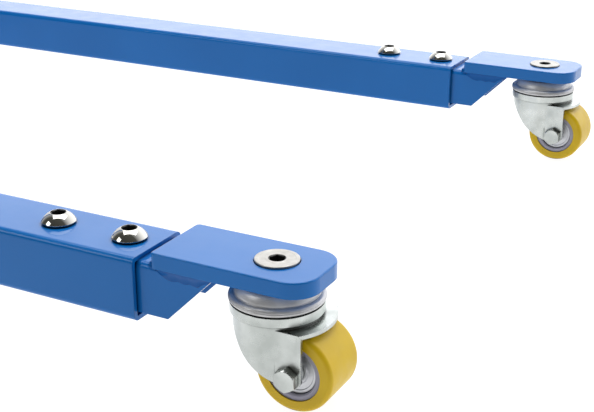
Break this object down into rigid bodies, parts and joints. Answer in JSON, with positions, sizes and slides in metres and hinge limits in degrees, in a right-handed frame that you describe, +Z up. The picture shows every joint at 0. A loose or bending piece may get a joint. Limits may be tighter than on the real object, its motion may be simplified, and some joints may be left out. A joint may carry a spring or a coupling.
{
  "type": "engine stand",
  "caption": "Wheeled stand with two long blue tube legs, swivel castors with yellow wheels, a post and a turning head with adjustable arms that hold an engine.",
  "frame": {"origin": "on the floor, at the middle of the four castors' outline", "axes": "+X along the legs to their front ends, +Y across to the left leg, +Z up"},
  "size_m": [1.1566, 0.5802, 0.9398],
  "materials": {
    "blue_paint": "gloss powder coat",
    "chrome": "polished",
    "satin_steel": "satin",
    "zinc": "bright zinc plate",
    "bearing_steel": "ground",
    "yellow_tread": "satin polyurethane",
    "grey_nylon": "moulded",
    "black_knob": "moulded"
  },
  "bodies": {
    "frame": {"leg_left": "blue_paint", "leg_right": "blue_paint", "insert_channels": "blue_paint", "castor_plates": "blue_paint", "leg_screws": "chrome", "insert_nuts": "zinc", "castor_screws": "satin_steel", "castor_pans": "zinc", "castor_kingpins": "zinc", "castor_balls": "bearing_steel", "cross_beams": "blue_paint", "base_plate": "blue_paint", "post": "blue_paint", "post_gussets": "blue_paint", "barrel": "blue_paint", "pin_bush": "blue_paint"},
    "castor_front_left": {"fork_front_left": "zinc", "axle_bolt_front_left": "zinc", "axle_nut_front_left": "zinc", "axle_sleeve_front_left": "zinc"},
    "wheel_front_left": {"tread_front_left": "yellow_tread", "wheel_core_front_left": "grey_nylon", "bearings_front_left": "bearing_steel"},
    "castor_front_right": {"fork_front_right": "zinc", "axle_bolt_front_right": "zinc", "axle_nut_front_right": "zinc", "axle_sleeve_front_right": "zinc"},
    "wheel_front_right": {"tread_front_right": "yellow_tread", "wheel_core_front_right": "grey_nylon", "bearings_front_right": "bearing_steel"},
    "castor_rear_left": {"fork_rear_left": "zinc", "axle_bolt_rear_left": "zinc", "axle_nut_rear_left": "zinc", "axle_sleeve_rear_left": "zinc"},
    "wheel_rear_left": {"tread_rear_left": "yellow_tread", "wheel_core_rear_left": "grey_nylon", "bearings_rear_left": "bearing_steel"},
    "castor_rear_right": {"fork_rear_right": "zinc", "axle_bolt_rear_right": "zinc", "axle_nut_rear_right": "zinc", "axle_sleeve_rear_right": "zinc"},
    "wheel_rear_right": {"tread_rear_right": "yellow_tread", "wheel_core_rear_right": "grey_nylon", "bearings_rear_right": "bearing_steel"},
    "head": {"spindle": "satin_steel", "spindle_collar": "satin_steel", "index_disc": "satin_steel", "face_plate": "blue_paint", "turning_bar": "chrome", "arm_bolts": "satin_steel"},
    "pin": {"index_pin": "satin_steel", "pin_knob": "black_knob"},
    "arm_1": {"arm_1": "zinc", "standoff_1": "zinc"},
    "arm_2": {"arm_2": "zinc", "standoff_2": "zinc"},
    "arm_3": {"arm_3": "zinc", "standoff_3": "zinc"},
    "arm_4": {"arm_4": "zinc", "standoff_4": "zinc"}
  },
  "joints": [
    {"name": "swivel_front_left", "type": "hinge", "parent": "frame", "child": "castor_front_left", "pos_m": [0.5338, 0.257, 0.055], "axis": [0, 0, 1], "continuous": true},
    {"name": "roll_front_left", "type": "hinge", "parent": "castor_front_left", "child": "wheel_front_left", "pos_m": [0.5533, 0.257, 0.025], "axis": [0, 1, 0], "continuous": true},
    {"name": "swivel_front_right", "type": "hinge", "parent": "frame", "child": "castor_front_right", "pos_m": [0.5338, -0.257, 0.055], "axis": [0, 0, 1], "continuous": true},
    {"name": "roll_front_right", "type": "hinge", "parent": "castor_front_right", "child": "wheel_front_right", "pos_m": [0.5533, -0.257, 0.025], "axis": [0, 1, 0], "continuous": true},
    {"name": "swivel_rear_left", "type": "hinge", "parent": "frame", "child": "castor_rear_left", "pos_m": [-0.5338, 0.257, 0.055], "axis": [0, 0, 1], "continuous": true},
    {"name": "roll_rear_left", "type": "hinge", "parent": "castor_rear_left", "child": "wheel_rear_left", "pos_m": [-0.5533, 0.257, 0.025], "axis": [0, 1, 0], "continuous": true},
    {"name": "swivel_rear_right", "type": "hinge", "parent": "frame", "child": "castor_rear_right", "pos_m": [-0.5338, -0.257, 0.055], "axis": [0, 0, 1], "continuous": true},
    {"name": "roll_rear_right", "type": "hinge", "parent": "castor_rear_right", "child": "wheel_rear_right", "pos_m": [-0.5533, -0.257, 0.025], "axis": [0, 1, 0], "continuous": true},
    {"name": "head_turn", "type": "hinge", "parent": "frame", "child": "head", "pos_m": [-0.37, 0, 0.78], "axis": [1, 0, 0], "continuous": true},
    {"name": "pin_pull", "type": "slide", "parent": "frame", "child": "pin", "axis": [1, 0, 0], "range_m": [-0.016, 0], "stiffness_N_per_m": 600, "springref_m": 0.012},
    {"name": "arm_1_swing", "type": "hinge", "parent": "head", "child": "arm_1", "pos_m": [-0.27, 0.06, 0.84], "axis": [1, 0, 0], "range_deg": [-40, 40]},
    {"name": "arm_2_swing", "type": "hinge", "parent": "head", "child": "arm_2", "pos_m": [-0.27, -0.06, 0.84], "axis": [1, 0, 0], "range_deg": [-40, 40]},
    {"name": "arm_3_swing", "type": "hinge", "parent": "head", "child": "arm_3", "pos_m": [-0.27, -0.06, 0.72], "axis": [1, 0, 0], "range_deg": [-40, 40]},
    {"name": "arm_4_swing", "type": "hinge", "parent": "head", "child": "arm_4", "pos_m": [-0.27, 0.06, 0.72], "axis": [1, 0, 0], "range_deg": [-40, 40]}
  ]
}
